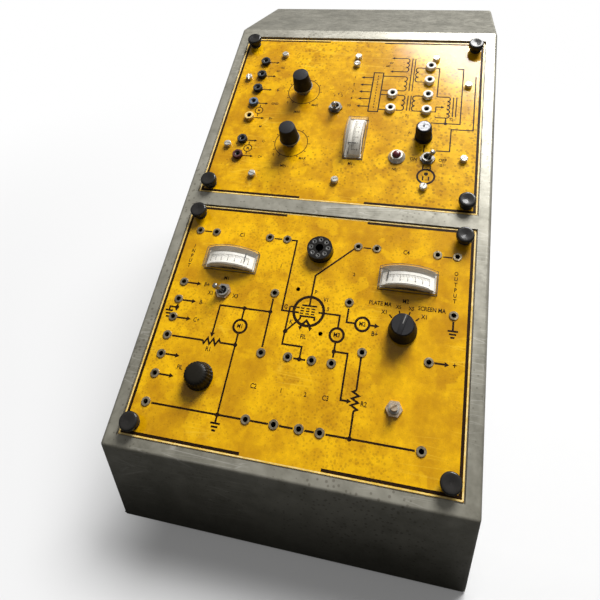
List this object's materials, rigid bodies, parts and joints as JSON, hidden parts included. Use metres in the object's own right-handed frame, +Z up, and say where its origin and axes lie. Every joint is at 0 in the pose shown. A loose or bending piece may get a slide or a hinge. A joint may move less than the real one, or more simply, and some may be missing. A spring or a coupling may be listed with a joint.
{
  "type": "tube tester",
  "caption": "Sloping steel console of a tube tester: power-supply panel above a tube panel with a socket, meters, jacks, switches and knobs, each panel held by push-pull fasteners.",
  "frame": {"origin": "on the floor under the middle of the whole object", "axes": "+X to the right as seen by the operator, +Y to the back, +Z up"},
  "size_m": [0.33, 0.6214, 0.375],
  "materials": {
    "case_steel": "worn bare grey sheet steel",
    "frame_steel": "plated sheet steel",
    "rubber": "matt black rubber",
    "panel_yellow": "aged golden yellow enamel with brown print",
    "black_nylon": "smooth black moulding",
    "black_jack": "smooth black moulding",
    "blue_jack": "smooth blue-grey moulding",
    "yellow_jack": "smooth yellow moulding",
    "maroon_jack": "smooth dark red moulding",
    "white_jack": "smooth white moulding",
    "bright_metal": "bright nickel plate",
    "control_steel": "plated steel cans",
    "bakelite": "dark moulded phenolic",
    "knob_black": "satin black phenolic",
    "jewel_red": "deep red faceted glass",
    "clear_cover": "clear acrylic",
    "scale_white": "white printed card on metal",
    "needle_black": "thin black pointer",
    "core_iron": "varnished laminations",
    "coil_wrap": "varnished winding wrap",
    "can_aluminium": "plain can"
  },
  "bodies": {
    "case": {"case_shell": "case_steel", "bottom_plate": "frame_steel", "base_screws": "bright_metal", "rubber_feet": "rubber", "cord_grommet": "rubber", "upper_bay_frame": "frame_steel", "lower_bay_frame": "frame_steel"},
    "supply_panel": {"upper_panel": "panel_yellow", "upper_grommets": "black_nylon", "black_jacks": "black_jack", "blue_jack": "blue_jack", "yellow_jack": "yellow_jack", "maroon_jack": "maroon_jack", "white_jacks": "white_jack", "jack_nuts": "bright_metal", "supply_chassis": "frame_steel", "chassis_screws": "bright_metal", "voltage_controls": "control_steel", "upper_control_nuts": "bright_metal", "upper_switches": "bakelite", "pilot_bezel": "bright_metal", "pilot_jewel": "jewel_red", "fuse_holder": "bakelite", "supply_meter_case": "bakelite", "supply_meter_cover": "clear_cover", "supply_meter_scale": "scale_white", "transformer_core": "core_iron", "transformer_coil": "coil_wrap", "filter_capacitors": "can_aluminium"},
    "tube_panel": {"lower_panel": "panel_yellow", "lower_grommets": "black_nylon", "panel_jacks": "bright_metal", "tube_socket": "bakelite", "grid_switch": "bakelite", "lower_controls": "control_steel", "selector_switch": "bakelite", "lower_control_nuts": "bright_metal", "lower_meter_cases": "bakelite", "lower_meter_covers": "clear_cover", "lower_meter_scales": "scale_white"},
    "upper_plunger_1": {"upper_plunger_1": "black_nylon"},
    "upper_plunger_2": {"upper_plunger_2": "black_nylon"},
    "upper_plunger_3": {"upper_plunger_3": "black_nylon"},
    "upper_plunger_4": {"upper_plunger_4": "black_nylon"},
    "lower_plunger_1": {"lower_plunger_1": "black_nylon"},
    "lower_plunger_2": {"lower_plunger_2": "black_nylon"},
    "lower_plunger_3": {"lower_plunger_3": "black_nylon"},
    "lower_plunger_4": {"lower_plunger_4": "black_nylon"},
    "upper_voltage_knob": {"upper_voltage_knob": "knob_black"},
    "lower_voltage_knob": {"lower_voltage_knob": "knob_black"},
    "output_lever": {"output_lever": "bright_metal"},
    "power_lever": {"power_lever": "bright_metal"},
    "fuse_cap": {"fuse_cap": "knob_black"},
    "supply_needle": {"supply_needle": "needle_black"},
    "left_needle": {"left_needle": "needle_black"},
    "right_needle": {"right_needle": "needle_black"},
    "grid_lever": {"grid_lever": "bright_metal"},
    "selector_knob": {"selector_knob": "knob_black"},
    "grid_knob": {"grid_knob": "knob_black"},
    "screen_shaft": {"screen_shaft": "bright_metal"}
  },
  "joints": [
    {"name": "supply_panel_lift", "type": "slide", "parent": "case", "child": "supply_panel", "axis": [0, -0.5, 0.866], "range_m": [0, 0.13]},
    {"name": "tube_panel_lift", "type": "slide", "parent": "case", "child": "tube_panel", "axis": [0, -0.5, 0.866], "range_m": [0, 0.08]},
    {"name": "upper_plunger_1_pull", "type": "slide", "parent": "supply_panel", "child": "upper_plunger_1", "axis": [0, -0.5, 0.866], "range_m": [0, 0.008]},
    {"name": "upper_plunger_2_pull", "type": "slide", "parent": "supply_panel", "child": "upper_plunger_2", "axis": [0, -0.5, 0.866], "range_m": [0, 0.008]},
    {"name": "upper_plunger_3_pull", "type": "slide", "parent": "supply_panel", "child": "upper_plunger_3", "axis": [0, -0.5, 0.866], "range_m": [0, 0.008]},
    {"name": "upper_plunger_4_pull", "type": "slide", "parent": "supply_panel", "child": "upper_plunger_4", "axis": [0, -0.5, 0.866], "range_m": [0, 0.008]},
    {"name": "lower_plunger_1_pull", "type": "slide", "parent": "tube_panel", "child": "lower_plunger_1", "axis": [0, -0.5, 0.866], "range_m": [0, 0.008]},
    {"name": "lower_plunger_2_pull", "type": "slide", "parent": "tube_panel", "child": "lower_plunger_2", "axis": [0, -0.5, 0.866], "range_m": [0, 0.008]},
    {"name": "lower_plunger_3_pull", "type": "slide", "parent": "tube_panel", "child": "lower_plunger_3", "axis": [0, -0.5, 0.866], "range_m": [0, 0.008]},
    {"name": "lower_plunger_4_pull", "type": "slide", "parent": "tube_panel", "child": "lower_plunger_4", "axis": [0, -0.5, 0.866], "range_m": [0, 0.008]},
    {"name": "upper_voltage_knob_turn", "type": "hinge", "parent": "supply_panel", "child": "upper_voltage_knob", "pos_m": [-0.0593, 0.05845, 0.32154], "axis": [0, -0.5, 0.866], "range_deg": [-150, 150]},
    {"name": "lower_voltage_knob_turn", "type": "hinge", "parent": "supply_panel", "child": "lower_voltage_knob", "pos_m": [-0.0593, -0.00997, 0.28204], "axis": [0, -0.5, 0.866], "range_deg": [-150, 150]},
    {"name": "output_lever_turn", "type": "hinge", "parent": "supply_panel", "child": "output_lever", "pos_m": [-0.016, 0.03716, 0.3104], "axis": [1, 0, 0], "range_deg": [-46, 0]},
    {"name": "power_lever_turn", "type": "hinge", "parent": "supply_panel", "child": "power_lever", "pos_m": [0.0965, -0.0193, 0.2778], "axis": [0, 0.866, 0.5], "range_deg": [-46, 0]},
    {"name": "fuse_cap_turn", "type": "hinge", "parent": "supply_panel", "child": "fuse_cap", "pos_m": [0.0897, 0.00649, 0.29154], "axis": [0, -0.5, 0.866], "range_deg": [0, 90]},
    {"name": "supply_needle_turn", "type": "hinge", "parent": "supply_panel", "child": "supply_needle", "pos_m": [0.0147, 0.01141, 0.26701], "axis": [-1, 0, 0], "range_deg": [-12, 56], "stiffness_Nm_per_rad": 0.0005},
    {"name": "left_needle_turn", "type": "hinge", "parent": "tube_panel", "child": "left_needle", "pos_m": [-0.09, -0.13287, 0.18371], "axis": [0, 0.866, 0.5], "range_deg": [-60, 8], "stiffness_Nm_per_rad": 0.0005},
    {"name": "right_needle_turn", "type": "hinge", "parent": "tube_panel", "child": "right_needle", "pos_m": [0.09, -0.13287, 0.18371], "axis": [0, 0.866, 0.5], "range_deg": [-4, 64], "stiffness_Nm_per_rad": 0.0005},
    {"name": "grid_lever_turn", "type": "hinge", "parent": "tube_panel", "child": "grid_lever", "pos_m": [-0.09, -0.17415, 0.1884], "axis": [0, 0.866, 0.5], "range_deg": [0, 46]},
    {"name": "selector_knob_turn", "type": "hinge", "parent": "tube_panel", "child": "selector_knob", "pos_m": [0.09, -0.18707, 0.17979], "axis": [0, -0.5, 0.866], "range_deg": [-30, 60]},
    {"name": "grid_knob_turn", "type": "hinge", "parent": "tube_panel", "child": "grid_knob", "pos_m": [-0.09, -0.24769, 0.14479], "axis": [0, -0.5, 0.866], "range_deg": [-150, 150]},
    {"name": "screen_shaft_turn", "type": "hinge", "parent": "tube_panel", "child": "screen_shaft", "pos_m": [0.09, -0.24769, 0.14479], "axis": [0, -0.5, 0.866], "range_deg": [-150, 150]}
  ]
}
